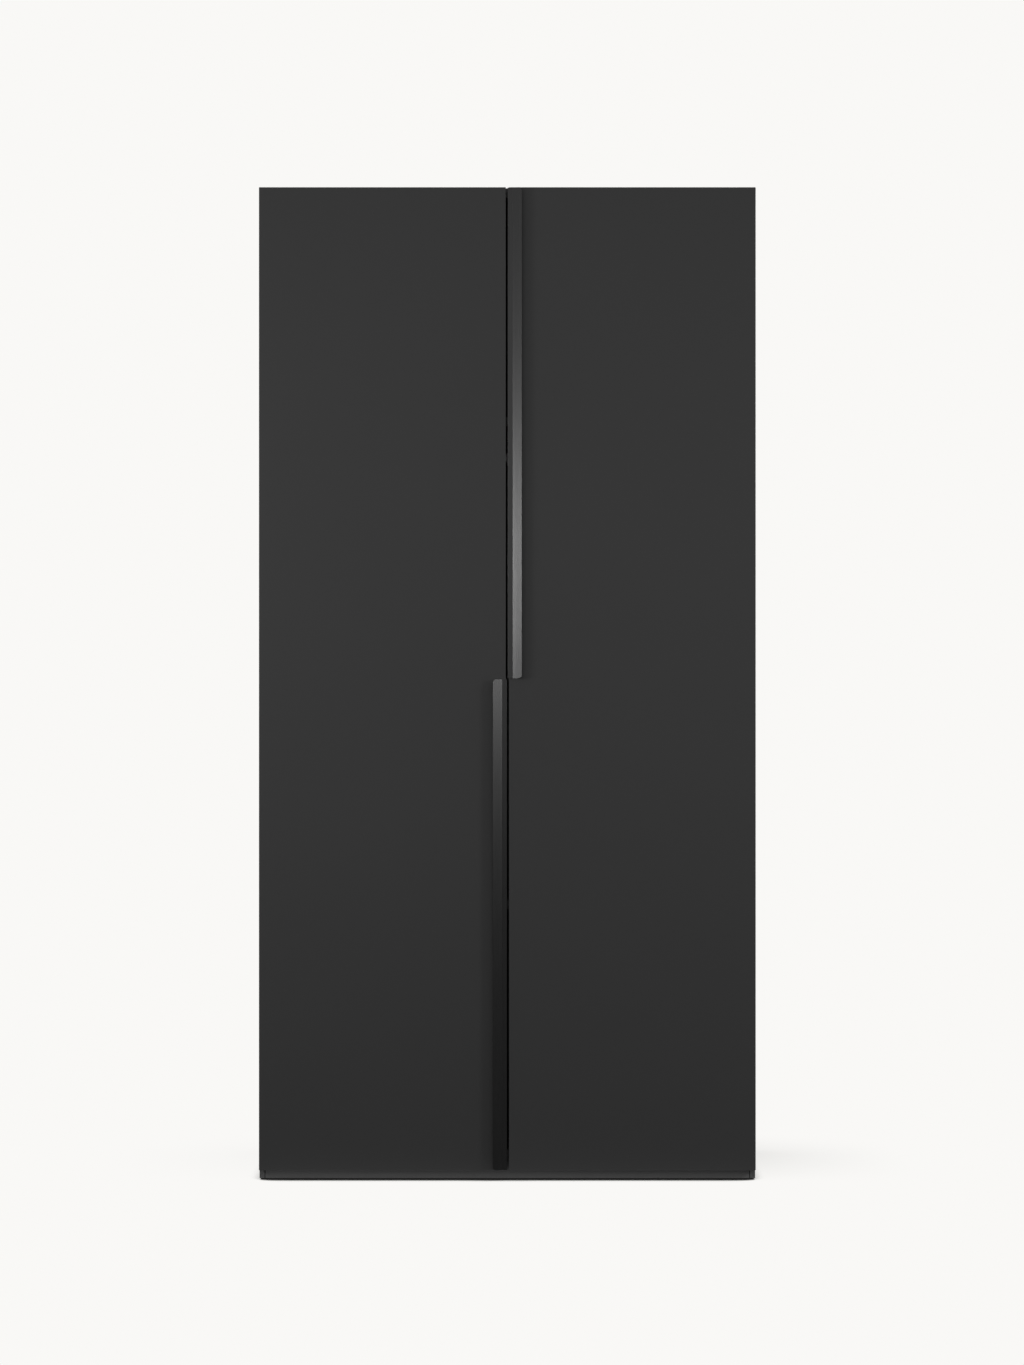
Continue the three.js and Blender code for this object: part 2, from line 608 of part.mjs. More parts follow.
const wardrobe = new THREE.Group();
wardrobe.add(
  middlePieces(),
  sidePieces("left", -1, DOOR_BOTTOM + HANDLE_END),
  sidePieces("right", 1, DOOR_MIDDLE_Z + HANDLE_END),
);

export default wardrobe;
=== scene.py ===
"""Two-door wardrobe in matt graphite: finished boards, profiles, hinges and fittings. Metres."""

import json
import math

import bmesh
import bpy
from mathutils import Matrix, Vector


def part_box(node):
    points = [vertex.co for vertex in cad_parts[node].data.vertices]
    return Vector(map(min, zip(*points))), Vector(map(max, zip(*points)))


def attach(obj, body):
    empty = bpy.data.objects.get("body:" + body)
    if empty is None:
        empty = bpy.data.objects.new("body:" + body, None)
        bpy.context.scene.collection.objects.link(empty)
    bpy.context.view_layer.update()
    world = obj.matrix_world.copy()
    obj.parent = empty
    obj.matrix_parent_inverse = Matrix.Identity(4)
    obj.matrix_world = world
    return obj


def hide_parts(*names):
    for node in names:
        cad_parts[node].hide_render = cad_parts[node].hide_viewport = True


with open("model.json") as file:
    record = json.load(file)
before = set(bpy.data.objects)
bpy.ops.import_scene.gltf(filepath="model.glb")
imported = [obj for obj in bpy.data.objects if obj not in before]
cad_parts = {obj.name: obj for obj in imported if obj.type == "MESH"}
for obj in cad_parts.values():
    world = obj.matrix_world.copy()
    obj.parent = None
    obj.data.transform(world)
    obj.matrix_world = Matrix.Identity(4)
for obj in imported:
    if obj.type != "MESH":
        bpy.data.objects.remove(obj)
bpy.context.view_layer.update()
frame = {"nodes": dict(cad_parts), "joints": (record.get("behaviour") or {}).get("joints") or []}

SIDES = {"left": -1, "right": 1}
HINGES = range(1, 5)
CARCASS = "carcass"

# ---- Sizes --------------------------------------------------------------------------------

JOINT_GAP = 0.0003  # between pieces that rest on each other

DOOR_ARRIS = 0.0012
BOARD_ARRIS = 0.0005
PRESSING_ARRIS = 0.00035
FITTING_ARRIS = 0.0006
THIN_ARRIS = 0.0003  # rail ends and the back boards' joint strip

HANDLE_WALL = 0.002
HANDLE_CORNER = 0.008
HANDLE_FLAT = 0.010  # flat strip between the door's edge and the wing
HANDLE_ARRIS = 0.00025
LEG_SCREWS = 5
LEG_SCREW_DIAMETER = 0.0055
LEG_SCREW_SINK = 0.0007

CUP_RADIUS = 0.0175
CUP_WALL = 0.001
CUP_FLOOR = 0.0006
CUP_FILLET = 0.0012
CUP_FLANGE = 0.001
CUP_FLANGE_WIDTH = 0.014
CUP_FLANGE_CORNER = 0.005
CUP_SCREW_SPREAD = 0.0255  # cup screw to the middle of the cup
PLATE_BASE = 0.003  # plate's thickness on the side board
PLATE_WING_SETBACK = 0.0275  # plate's front end to its screws
PLATE_SCREW_SPREAD = 0.019  # plate screw to the middle of the plate
ARM_SCREW_SHARES = (0.42, 0.8)  # along the arm, from its front end
HINGE_SCREW_DIAMETER = 0.0075
ARM_SCREW_DIAMETER = 0.0065
PIN_RADIUS = 0.0013

ROW_PITCH = 0.032  # system holes up the side boards
ROW_COUNT = 15
ROW_HOLE = 0.005
ROW_DEPTH = 0.010

RAIL_WALL = 0.0015
SOCKET_WALL = 0.003
SOCKET_PLATE = 0.003
SOCKET_PLATE_ARRIS = 0.0008
SOCKET_SCREW_SPREAD = 0.0235  # socket screw to the middle of the rail
SOCKET_SCREW_DIAMETER = 0.0065

FOOT_BORE = 0.0043
FOOT_BODY_RADIUS = 0.012
FOOT_NECK = 0.003  # cone between the socket's body and its flange
FOOT_FLANGE = 0.004
FOOT_CHAMFER = 0.0008
FOOT_FLANGE_CHAMFER = 0.0006
PAD_RIM = 0.0045
PAD_HEIGHT = 0.006
SHAFT_RADIUS = 0.004
THREAD_START = 0.0062
THREAD_INSET = 0.0065  # length of the screw that stays plain
THREAD_PITCH = 0.00125
THREAD_DEPTH = 0.0006

BRACKET_THICKNESS = 0.002
BRACKET_SCREW_INSET = 0.011
BRACKET_SCREW_SPREAD = 0.008
BRACKET_SCREW_DIAMETER = 0.008

CAM_DIAMETER = 0.015
CAM_INSET = 0.034  # cam to the inner face of the side board
CAM_END_INSET = 0.06  # outer cams to the board's front and rear edges
CAP_DIAMETER = 0.016

# ---- Colours, in linear light -------------------------------------------------------------

DOOR_GRAPHITE = (0.0335, 0.0335, 0.0335)
BOARD_GRAPHITE = (0.075, 0.075, 0.075)
BACKDROP = (0.947, 0.939, 0.922)
FLOOR_BOUNCE = (0.18, 0.18, 0.18)  # what the floor gives back to the object
AMBIENT = 0.42  # strength of the even light


def grey(value, warmth=0.0):
    return (value * (1 + warmth), value, value * (1 - warmth))


# ---- Surfaces -----------------------------------------------------------------------------


class Surface:
    """A Principled surface. Its patterns read object coordinates."""

    def __init__(self, name, color, roughness, metallic=0.0, specular=0.5):
        self.material = bpy.data.materials.new(name)
        self.material.use_nodes = True
        self.tree = self.material.node_tree
        self.shader = self.tree.nodes["Principled BSDF"]
        self.color = color
        self.shader.inputs["Base Color"].default_value = (*color, 1)
        self.shader.inputs["Roughness"].default_value = roughness
        self.shader.inputs["Metallic"].default_value = metallic
        self.shader.inputs["Specular IOR Level"].default_value = specular
        self.place = self.add("ShaderNodeTexCoord").outputs["Object"]

    def add(self, kind, **settings):
        node = self.tree.nodes.new(kind)
        for name, value in settings.items():
            setattr(node, name, value)
        return node

    def link(self, source, target):
        self.tree.links.new(source, target)

    def noise(self, scale, stretch=(1, 1, 1), detail=3.0, roughness=0.55):
        """Noise with `scale` cells in a metre, drawn out along an axis by a small stretch."""
        mapping = self.add("ShaderNodeMapping")
        mapping.inputs["Scale"].default_value = stretch
        self.link(self.place, mapping.inputs["Vector"])
        node = self.add("ShaderNodeTexNoise")
        node.inputs["Scale"].default_value = scale
        node.inputs["Detail"].default_value = detail
        node.inputs["Roughness"].default_value = roughness
        self.link(mapping.outputs["Vector"], node.inputs["Vector"])
        return node.outputs["Fac"]

    def cells(self, scale, feature="DISTANCE_TO_EDGE"):
        node = self.add("ShaderNodeTexVoronoi", feature=feature)
        node.inputs["Scale"].default_value = scale
        self.link(self.place, node.inputs["Vector"])
        return node.outputs["Distance"]

    def spread(self, source, low, high, start=0.3, end=0.7):
        node = self.add("ShaderNodeMapRange")
        node.inputs["From Min"].default_value = start
        node.inputs["From Max"].default_value = end
        node.inputs["To Min"].default_value = low
        node.inputs["To Max"].default_value = high
        self.link(source, node.inputs["Value"])
        return node.outputs["Result"]

    def math(self, operation, first, second):
        node = self.add("ShaderNodeMath", operation=operation)
        for value, socket in zip((first, second), node.inputs):
            if isinstance(value, float):
                socket.default_value = value
            else:
                self.link(value, socket)
        return node.outputs[0]

    def shade(self, source, dark, light):
        """Colour between dark and light times the surface's own colour, following source."""
        node = self.add("ShaderNodeMix", data_type="RGBA")
        for socket, share in ((6, dark), (7, light)):
            shaded = tuple(c * share for c in self.color)
            node.inputs[socket].default_value = (*shaded, 1)
        self.link(self.spread(source, 0, 1), node.inputs[0])
        self.link(node.outputs[2], self.shader.inputs["Base Color"])
        return self

    def gloss(self, source, low, high):
        self.link(self.spread(source, low, high), self.shader.inputs["Roughness"])
        return self

    def relief(self, *layers):
        """Bump from (source, height in metres) layers, one over the other."""
        normal = None
        for source, height in layers:
            bump = self.add("ShaderNodeBump")
            bump.inputs["Distance"].default_value = height
            self.link(source, bump.inputs["Height"])
            if normal:
                self.link(normal, bump.inputs["Normal"])
            normal = bump.outputs["Normal"]
        self.link(normal, self.shader.inputs["Normal"])
        return self


def door_lacquer():
    """Super-matt lacquer: a very fine sprayed grain and a faint cloudiness."""
    surface = Surface("super_matt_lacquer", DOOR_GRAPHITE, 0.55, specular=0.32)
    surface.shade(surface.noise(2.6, detail=4), 0.975, 1.025)
    surface.gloss(surface.noise(420), 0.50, 0.60)
    surface.relief((surface.noise(60, detail=2), 0.00002), (surface.noise(2400), 0.000012))
    return surface.material


def edge_band(name, color):
    """Plastic edge band in its board's colour, a little smoother than the face."""
    surface = Surface(name, color, 0.45, specular=0.4)
    surface.shade(surface.noise(900, (1, 1, 0.02)), 0.96, 1.05)
    surface.gloss(surface.noise(300, (1, 1, 0.1)), 0.40, 0.50)
    surface.relief((surface.noise(1500, (1, 1, 0.05)), 0.00001))
    return surface.material


def melamine():
    """Board faces with a fine pearl embossing."""
    surface = Surface("graphite_melamine", BOARD_GRAPHITE, 0.5, specular=0.4)
    surface.shade(surface.noise(700, detail=2), 0.94, 1.06)
    surface.gloss(surface.noise(500), 0.44, 0.56)
    surface.relief((surface.cells(900), 0.00003), (surface.noise(2600), 0.00002))
    return surface.material


def raw_core():
    """Cut chipboard inside bored holes."""
    surface = Surface("chipboard_core", (0.085, 0.062, 0.042), 0.9, specular=0.2)
    surface.shade(surface.noise(900, detail=4), 0.6, 1.4)
    surface.relief((surface.noise(1400), 0.0002))
    return surface.material


def fibreboard():
    """Thin back board: dark foil on hard fibreboard, with the screen's faint relief."""
    surface = Surface("dark_fibreboard", grey(0.027, 0.02), 0.62, specular=0.35)
    surface.shade(surface.noise(260, (1, 1, 0.5), detail=5, roughness=0.65), 0.86, 1.14)
    surface.gloss(surface.noise(200), 0.56, 0.70)
    surface.relief((surface.noise(900, detail=4), 0.00006), (surface.noise(9), 0.0004))
    return surface.material


def satin_profile():
    """Dark anodised extrusion: satin, with fine draw lines along its length."""
    surface = Surface("dark_anodised_profile", grey(0.036), 0.30, metallic=0.85)
    surface.shade(surface.noise(1500, (1, 1, 0.004)), 0.92, 1.08)
    surface.gloss(surface.noise(2200, (1, 1, 0.01)), 0.27, 0.33)
    surface.relief((surface.noise(2600, (1, 1, 0.004)), 0.000004))
    return surface.material


def nickel():
    surface = Surface("nickel_plate", (0.62, 0.60, 0.57), 0.26, metallic=1.0)
    surface.shade(surface.noise(90, detail=2), 0.96, 1.03)
    surface.gloss(surface.noise(300, detail=3), 0.24, 0.29)
    surface.relief((surface.noise(300, detail=2), 0.0000015))
    return surface.material


def zinc():
    """Bright zinc plating with a faint crystal pattern."""
    surface = Surface("zinc_plate", (0.52, 0.54, 0.57), 0.38, metallic=1.0)
    surface.shade(surface.cells(240, "F1"), 0.93, 1.05)
    surface.gloss(surface.noise(500, detail=3), 0.34, 0.42)
    surface.relief((surface.noise(900, detail=2), 0.000003))
    return surface.material


def brushed_tube():
    """Steel tube, polished along its length."""
    surface = Surface("brushed_rail_steel", grey(0.56), 0.28, metallic=1.0)
    surface.shade(surface.noise(2600, (0.004, 1, 1), detail=2), 0.975, 1.02)
    surface.gloss(surface.noise(2600, (0.004, 1, 1), detail=2), 0.25, 0.30)
    surface.relief((surface.noise(3000, (0.003, 1, 1), detail=2), 0.0000008))
    return surface.material


def moulded_plastic():
    surface = Surface("black_moulded_plastic", grey(0.012), 0.5, specular=0.45)
    surface.shade(surface.noise(300), 0.85, 1.2)
    surface.gloss(surface.noise(900), 0.42, 0.6)
    surface.relief((surface.cells(1500), 0.00003))
    return surface.material


def soft_rubber():
    surface = Surface("bumper_rubber", grey(0.035), 0.75, specular=0.3)
    surface.shade(surface.noise(700), 0.85, 1.15)
    surface.gloss(surface.noise(900), 0.68, 0.84)
    surface.relief((surface.noise(2500), 0.00004))
    return surface.material


LACQUER = door_lacquer()
DOOR_BAND = edge_band("door_edge_band", DOOR_GRAPHITE)
BAND = edge_band("edge_band", BOARD_GRAPHITE)
MELAMINE = melamine()
CORE = raw_core()
FIBREBOARD = fibreboard()
PROFILE = satin_profile()
NICKEL = nickel()
ZINC = zinc()
RAIL_STEEL = brushed_tube()
PLASTIC = moulded_plastic()
RUBBER = soft_rubber()

# ---- Mesh helpers -------------------------------------------------------------------------


def plain_mesh(source, name):
    """The evaluated mesh of an object, as a mesh with no modifiers."""
    bpy.context.view_layer.update()
    graph = bpy.context.evaluated_depsgraph_get()
    mesh = bpy.data.meshes.new_from_object(source.evaluated_get(graph))
    mesh.name = name
    return mesh


def paint(made, *materials):
    """Gives an object its materials, in the order of its faces' numbers."""
    made.data.materials.clear()
    for material in materials:
        made.data.materials.append(material)
    return made


def new_object(name, mesh, *materials):
    made = bpy.data.objects.new(name, mesh)
    bpy.context.scene.collection.objects.link(made)
    if materials:
        paint(made, *materials)
    return made


def drop(*objects):
    for made in objects:
        bpy.data.objects.remove(made)


def from_bmesh(name, bm, *materials):
    bmesh.ops.recalc_face_normals(bm, faces=bm.faces)
    mesh = bpy.data.meshes.new(name)
    bm.to_mesh(mesh)
    bm.free()
    return new_object(name, mesh, *materials)


def join(name, material, *parts):
    """Parts made into one mesh object."""
    bm = bmesh.new()
    for part in parts:
        bm.from_mesh(part.data)
    drop(*parts)
    return from_bmesh(name, bm, material)


def keep_modifiers(made):
    """Makes the result of an object's modifiers its own mesh."""
    mesh = plain_mesh(made, made.name)
    made.modifiers.clear()
    made.data = mesh
    return made


def smooth(made, angle=35):
    """Shades an object smooth, except over edges sharper than the angle."""
    made.data.shade_smooth()
    made.data.set_sharp_from_angle(angle=math.radians(angle))
    return made


def soften(made, width, segments=2, angle=40):
    """Rounds the sharp edges of an object's mesh and shades the flats flat."""
    bevel = made.modifiers.new("arris", "BEVEL")
    bevel.width = width
    bevel.segments = segments
    bevel.limit_method = "ANGLE"
    bevel.angle_limit = math.radians(angle)
    bevel.harden_normals = True
    made.data.shade_smooth()
    return keep_modifiers(made)


def boolean(made, tool, operation):
    step = made.modifiers.new("boolean", "BOOLEAN")
    step.operation = operation
    step.solver = "EXACT"
    step.material_mode = "TRANSFER"
    step.object = tool
    keep_modifiers(made)
    drop(tool)
    return made


def cut(made, cutter):
    """Takes the cutter's shape out of an object; the cut keeps the cutter's material."""
    return boolean(made, cutter, "DIFFERENCE")


def trim(made, window):
    """Keeps only what lies inside the window's shape."""
    return boolean(made, window, "INTERSECT")


def copy_of(node):
    """A merged copy of a CAD node's mesh, with its flats made whole."""
    bm = bmesh.new()
    bm.from_mesh(frame["nodes"][node].data)
    bmesh.ops.remove_doubles(bm, verts=bm.verts, dist=2e-6)
    bmesh.ops.dissolve_limit(bm, angle_limit=math.radians(1), verts=bm.verts, edges=bm.edges)
    return from_bmesh(node + "_finished", bm)


def band_edges(made, thin_axis, face, band):
    """Faces across the board's thickness axis take the face finish, the rest the edge band."""
    paint(made, face, band)
    for polygon in made.data.polygons:
        polygon.material_index = 0 if abs(polygon.normal[thin_axis]) > 0.9 else 1
    return made


def fit(made, body, slot, *nodes):
    """Puts a finished piece on its body and in place of its CAD nodes; the slot is not used."""
    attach(made, body)
    if nodes:
        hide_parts(*nodes)
    return made


def middle(node):
    low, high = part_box(node)
    return (low + high) / 2


def inner_end(side, low, high):
    """The X of a box's face towards the wardrobe's middle."""
    return low.x if SIDES[side] > 0 else high.x


def outer_end(side, low, high):
    return high.x if SIDES[side] > 0 else low.x


def arc(centre, radius, start, end, steps):
    """Points on an arc, angles in degrees."""
    turns = [math.radians(start + (end - start) * i / steps) for i in range(steps + 1)]
    return [(centre[0] + radius * math.cos(t), centre[1] + radius * math.sin(t)) for t in turns]


def obround(width, height, steps=16):
    """An outline with straight sides and round ends, upright, about the origin."""
    reach = (height - width) / 2
    upper = arc((0, reach), width / 2, 0, 180, steps)
    return upper + arc((0, -reach), width / 2, 180, 360, steps)


def box_outline(half_a, half_b):
    return [(-half_a, -half_b), (half_a, -half_b), (half_a, half_b), (-half_a, half_b)]


def moved(outline, by_a, by_b):
    return [(by_a + a, by_b + b) for a, b in outline]


def rounded(points, radius, steps=4):
    """A closed outline with each corner rounded, or left sharp where its radius is 0."""
    made = []
    count = len(points)
    for i, (corner, r) in enumerate(zip(points, radius)):
        here = Vector(corner)
        before = (Vector(points[i - 1]) - here).normalized()
        after = (Vector(points[(i + 1) % count]) - here).normalized()
        half = before.angle(after) / 2
        if not r or half > math.radians(89):
            made.append(tuple(here))
            continue
        reach = r / math.tan(half)
        centre = here + (before + after).normalized() * (r / math.sin(half))
        start = here + before * reach - centre
        end = here + after * reach - centre
        for step in range(steps + 1):
            share = step / steps
            way = (start * (1 - share) + end * share).normalized()
            made.append(tuple(centre + way * r))
    return made


def add_prism(bm, outline, axis, low, high):
    """A prism on an outline given in the two axes that follow its own in the order X, Y, Z."""
    first, second = (axis + 1) % 3, (axis + 2) % 3
    rings = []
    for level in (low, high):
        ring = []
        for a, b in outline:
            point = [0, 0, 0]
            point[axis], point[first], point[second] = level, a, b
            ring.append(bm.verts.new(point))
        rings.append(ring)
    count = len(outline)
    for i in range(count):
        j = (i + 1) % count
        bm.faces.new((rings[0][i], rings[0][j], rings[1][j], rings[1][i]))
    bm.faces.new(rings[0][::-1])
    bm.faces.new(rings[1])
    return bm


def add_turned(bm, profile, centre, axis=2, steps=48):
    """A turned shape: (radius, height along the axis) points, closed on the axis or on itself."""
    first, second = (axis + 1) % 3, (axis + 2) % 3
    rings = []
    for radius, height in profile:
        ring = []
        for i in range(steps if radius > 0 else 1):
            turn = 2 * math.pi * i / steps
            point = list(centre)
            point[axis] += height
            point[first] += radius * math.cos(turn)
            point[second] += radius * math.sin(turn)
            ring.append(bm.verts.new(point))
        rings.append(ring)
    closed = profile[0][0] > 0
    pairs = list(zip(rings, rings[1:] + ([rings[0]] if closed else [])))
    for ring, following in pairs:
        for i in range(steps):
            j = (i + 1) % steps
            corners = [ring[i % len(ring)], ring[j % len(ring)]]
            corners += [following[j % len(following)], following[i % len(following)]]
            bm.faces.new(list(dict.fromkeys(corners)))
    return bm


def prism(name, outline, axis, low, high, *materials):
    return from_bmesh(name, add_prism(bmesh.new(), outline, axis, low, high), *materials)


def turned(name, profile, centre, *materials, axis=2, steps=48):
    return from_bmesh(name, add_turned(bmesh.new(), profile, centre, axis, steps), *materials)


# ---- Geometry node trees ------------------------------------------------------------------


class Tree:
    """A geometry node tree with named inputs, ending in Realize Instances and Set Material."""

    def __init__(self, name, **inputs):
        self.tree = bpy.data.node_groups.new(name, "GeometryNodeTree")
        face = self.tree.interface
        face.new_socket("Points", in_out="INPUT", socket_type="NodeSocketGeometry")
        for label, kind in inputs.items():
            face.new_socket(label, in_out="INPUT", socket_type="NodeSocket" + kind)
        face.new_socket("Finish", in_out="INPUT", socket_type="NodeSocketMaterial")
        face.new_socket("Geometry", in_out="OUTPUT", socket_type="NodeSocketGeometry")
        self.inputs = self.add("NodeGroupInput").outputs

    def add(self, kind, **settings):
        node = self.tree.nodes.new(kind)
        for name, value in settings.items():
            setattr(node, name, value)
        return node

    def link(self, source, target):
        self.tree.links.new(source, target)

    def end(self, geometry):
        realize = self.add("GeometryNodeRealizeInstances")
        finish = self.add("GeometryNodeSetMaterial")
        output = self.add("NodeGroupOutput")
        self.link(geometry, realize.inputs[0])
        self.link(realize.outputs[0], finish.inputs["Geometry"])
        self.link(self.inputs["Finish"], finish.inputs["Material"])
        self.link(finish.outputs[0], output.inputs[0])
        return self

    def grow(self, name, points, **values):
        """Runs the tree on an object of points and gives its result as a plain mesh object."""
        modifier = points.modifiers.new(name, "NODES")
        modifier.node_group = self.tree
        for socket in self.tree.interface.items_tree:
            if socket.in_out == "INPUT" and socket.name in values:
                modifier[socket.identifier] = values[socket.name]
        mesh = plain_mesh(points, name)
        drop(points)
        return new_object(name, mesh)


def points_at(places):
    """An object whose vertices carry the direction that a fitting there faces."""
    mesh = bpy.data.meshes.new("places")
    mesh.from_pydata([place for place, _ in places], [], [])
    facing = mesh.attributes.new("facing", "FLOAT_VECTOR", "POINT")
    facing.data.foreach_set("vector", [c for _, way in places for c in way])
    return new_object("places", mesh)


def fittings_tree():
    """A fitting of diameter 1 set on every point, facing out, its slot turned at random."""
    tree = Tree("fittings_on_points", Fitting="Object", Diameter="Float", Seed="Int")
    fitting = tree.add("GeometryNodeObjectInfo")
    tree.link(tree.inputs["Fitting"], fitting.inputs["Object"])
    facing = tree.add("GeometryNodeInputNamedAttribute", data_type="FLOAT_VECTOR")
    facing.inputs["Name"].default_value = "facing"
    align = tree.add("FunctionNodeAlignRotationToVector", axis="Z")
    tree.link(facing.outputs["Attribute"], align.inputs["Vector"])
    spin = tree.add("FunctionNodeRandomValue", data_type="FLOAT")
    spin.inputs[3].default_value = math.pi
    tree.link(tree.inputs["Seed"], spin.inputs["Seed"])
    turn = tree.add("FunctionNodeAxisAngleToRotation")
    turn.inputs["Axis"].default_value = (0, 0, 1)
    tree.link(spin.outputs[1], turn.inputs["Angle"])
    rotate = tree.add("FunctionNodeRotateRotation", rotation_space="LOCAL")
    tree.link(align.outputs["Rotation"], rotate.inputs["Rotation"])
    tree.link(turn.outputs["Rotation"], rotate.inputs["Rotate By"])
    place = tree.add("GeometryNodeInstanceOnPoints")
    tree.link(tree.inputs["Points"], place.inputs["Points"])
    tree.link(fitting.outputs["Geometry"], place.inputs["Instance"])
    tree.link(rotate.outputs["Rotation"], place.inputs["Rotation"])
    tree.link(tree.inputs["Diameter"], place.inputs["Scale"])
    return tree.end(place.outputs["Instances"])


def bored_rows_tree():
    """Bore-shaped cutters along X, in a row going up from every point."""
    sizes = {"Pitch": "Float", "Count": "Int", "Radius": "Float", "Depth": "Float"}
    tree = Tree("bored_rows", **sizes)
    bore = tree.add("GeometryNodeMeshCylinder")
    bore.inputs["Vertices"].default_value = 20
    tree.link(tree.inputs["Radius"], bore.inputs["Radius"])
    tree.link(tree.inputs["Depth"], bore.inputs["Depth"])
    lie = tree.add("GeometryNodeTransform")
    lie.inputs["Rotation"].default_value = (0, math.pi / 2, 0)
    tree.link(bore.outputs["Mesh"], lie.inputs["Geometry"])
    step = tree.add("ShaderNodeCombineXYZ")
    tree.link(tree.inputs["Pitch"], step.inputs["Z"])
    line = tree.add("GeometryNodeMeshLine", mode="OFFSET")
    tree.link(tree.inputs["Count"], line.inputs["Count"])
    tree.link(step.outputs["Vector"], line.inputs["Offset"])
    row = tree.add("GeometryNodeInstanceOnPoints")
    tree.link(line.outputs["Mesh"], row.inputs["Points"])
    tree.link(lie.outputs["Geometry"], row.inputs["Instance"])
    rows = tree.add("GeometryNodeInstanceOnPoints")
    tree.link(tree.inputs["Points"], rows.inputs["Points"])
    tree.link(row.outputs["Instances"], rows.inputs["Instance"])
    return tree.end(rows.outputs["Instances"])


FITTINGS = fittings_tree()
BORED_ROWS = bored_rows_tree()

# ---- Fitting shapes of diameter 1, facing +Z ----------------------------------------------


def screw_head():
    """A flat dome with a cross recess."""
    turns = [math.radians(90 * i / 5) for i in range(6)]
    dome = [(0.5 * math.sin(t), 0.5 * math.cos(t) * 0.42 - 0.02) for t in turns]
    head = turned("screw_head", dome + [(0.5, -0.05), (0, -0.05)], (0, 0, 0), steps=24)
    for outline in (box_outline(0.27, 0.06), box_outline(0.06, 0.27)):
        cut(head, prism("slot", outline, 2, 0.06, 0.3))
    return smooth(head)


def cam_disc():
    """A cam fitting's face: a shallow disc with a raised rim and a cross slot."""
    rim = [(0, 0.03), (0.43, 0.03), (0.46, 0.05), (0.5, 0.04), (0.5, -0.05), (0, -0.05)]
    disc = turned("cam_disc", rim, (0, 0, 0), steps=40)
    for outline in (box_outline(0.32, 0.05), box_outline(0.05, 0.32)):
        cut(disc, prism("slot", outline, 2, -0.02, 0.1))
    return smooth(disc, 30)


def cover_cap():
    """A low domed cap with a flat middle."""
    rim = [(0, 0.09), (0.38, 0.085), (0.46, 0.065), (0.5, 0.02), (0.5, -0.02), (0, -0.02)]
    return smooth(turned("cover_cap", rim, (0, 0, 0), steps=40), 40)


SCREW = screw_head()
CAM = cam_disc()
CAP = cover_cap()


def fasten(name, body, slot, shape, diameter, finish, places, seed):
    """One piece of like fittings; places are (point, direction that the fitting faces)."""
    points = points_at(places)
    values = {"Fitting": shape, "Diameter": diameter, "Seed": seed, "Finish": finish}
    return fit(FITTINGS.grow(name, points, **values), body, slot)


# ---- Boards -------------------------------------------------------------------------------


def board(node, thin_axis):
    """A carcass board: melamine on its two faces, edge band all round."""
    made = soften(copy_of(node), BOARD_ARRIS)
    return fit(band_edges(made, thin_axis, MELAMINE, BAND), CARCASS, "graphite_board", node)


def system_rows(side):
    """Cutters for the rows of shelf-pin holes, on the pins' own lines, between the hinges."""
    face = inner_end(side, *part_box(f"side_panel_{side}"))
    starts = []
    for end in ("front", "rear"):
        pin = middle(f"shelf_pin_{end}_{side}")
        for lower, upper in zip(HINGES, list(HINGES)[1:]):
            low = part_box(f"hinge_plate_{side}_{lower}")[1].z
            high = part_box(f"hinge_plate_{side}_{upper}")[0].z
            first = (low + high - (ROW_COUNT - 1) * ROW_PITCH) / 2
            on_grid = pin.z + round((first - pin.z) / ROW_PITCH) * ROW_PITCH
            starts.append(((face, pin.y, on_grid), (1, 0, 0)))
    return BORED_ROWS.grow("system_rows", points_at(starts), Pitch=ROW_PITCH, Count=ROW_COUNT,
                           Radius=ROW_HOLE / 2, Depth=2 * ROW_DEPTH, Finish=CORE)


def side_board(side):
    node = f"side_panel_{side}"
    made = band_edges(soften(copy_of(node), BOARD_ARRIS), 0, MELAMINE, BAND)
    cut(made, system_rows(side))
    return fit(made, CARCASS, "graphite_board", node)


def back_board(side):
    node = f"back_panel_{side}"
    made = paint(soften(copy_of(node), BOARD_ARRIS / 2), FIBREBOARD)
    return fit(made, CARCASS, "back_board", node)


def joint_strip():
    """H-section strip that holds the two back boards together."""
    made = paint(soften(copy_of("back_joint_strip"), THIN_ARRIS), PLASTIC)
    return fit(made, CARCASS, "black_plastic", "back_joint_strip")


for side in SIDES:
    side_board(side)
    back_board(side)
for level in ("top_panel", "bottom_panel", "upper_shelf", "lower_shelf"):
    board(level, 2)
for end in ("front", "rear"):
    board(f"plinth_{end}", 1)
joint_strip()

# ---- Doors and handle profiles ------------------------------------------------------------


def door_leaf(side):
    """Lacquered leaf with banded edges, bored for its hinge cups."""
    node = f"door_{side}"
    low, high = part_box(node)
    outline = [(low.x, low.y), (high.x, low.y), (high.x, high.y), (low.x, high.y)]
    leaf = soften(prism(f"door_leaf_{side}", outline, 2, low.z, high.z), DOOR_ARRIS, 3)
    band_edges(leaf, 1, LACQUER, DOOR_BAND)
    radius = CUP_RADIUS + JOINT_GAP
    for i in HINGES:
        cup_low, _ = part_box(f"hinge_cup_{side}_{i}")
        centre = middle(f"hinge_cup_{side}_{i}")
        depth = high.y - cup_low.y + JOINT_GAP
        bore = [(0, -depth), (radius, -depth), (radius, 0.002), (0, 0.002)]
        cut(leaf, turned("bore", bore, (centre.x, high.y, centre.z), CORE, axis=1))
    return fit(leaf, f"{side}_door", "graphite_door", node)


